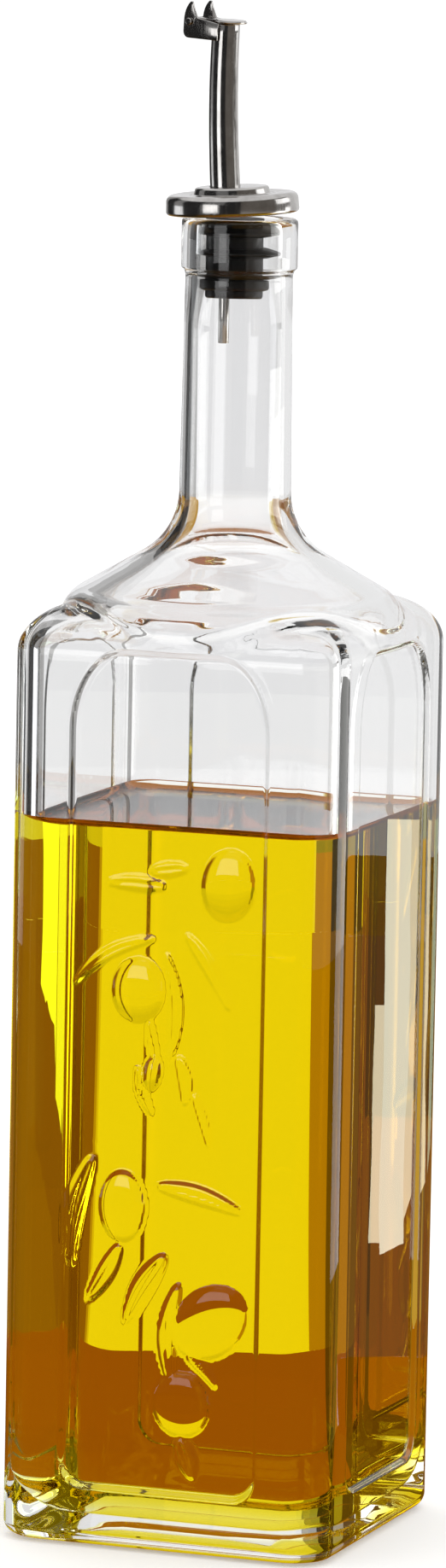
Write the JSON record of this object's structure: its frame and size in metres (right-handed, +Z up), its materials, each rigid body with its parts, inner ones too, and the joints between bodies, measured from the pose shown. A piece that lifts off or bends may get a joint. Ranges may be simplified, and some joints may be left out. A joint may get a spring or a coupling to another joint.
{
  "type": "oil cruet",
  "caption": "Square glass oil bottle with a round shoulder, arched panels and an embossed olive branch, filled with oil and closed by a ribbed stopper with a lidded steel pour spout.",
  "frame": {"origin": "centre of the base, at the height of the foot that the bottle stands on", "axes": "+Z up along the bottle, -Y out of the face with the embossed branch, +X out of the plain side on that face's right"},
  "size_m": [0.077, 0.0775, 0.3375],
  "materials": {
    "clear_glass": "clear pressed glass, polished, with slight waves",
    "golden_oil": "clear golden-yellow liquid",
    "black_rubber": "satin moulded rubber",
    "polished_steel": "polished stainless steel"
  },
  "bodies": {
    "bottle": {"bottle_glass": "clear_glass", "oil": "golden_oil", "stopper": "black_rubber", "cap_disc": "polished_steel", "pour_spout": "polished_steel", "air_tube": "polished_steel", "hinge_bracket": "polished_steel", "hinge_pin": "polished_steel"},
    "flap": {"flap_lid": "polished_steel"}
  },
  "joints": [
    {"name": "lid_hinge", "type": "hinge", "parent": "bottle", "child": "flap", "pos_m": [-0.01127, 0.00279, 0.33307], "axis": [-0.2402, -0.9707, 0], "range_deg": [0, 75]}
  ]
}
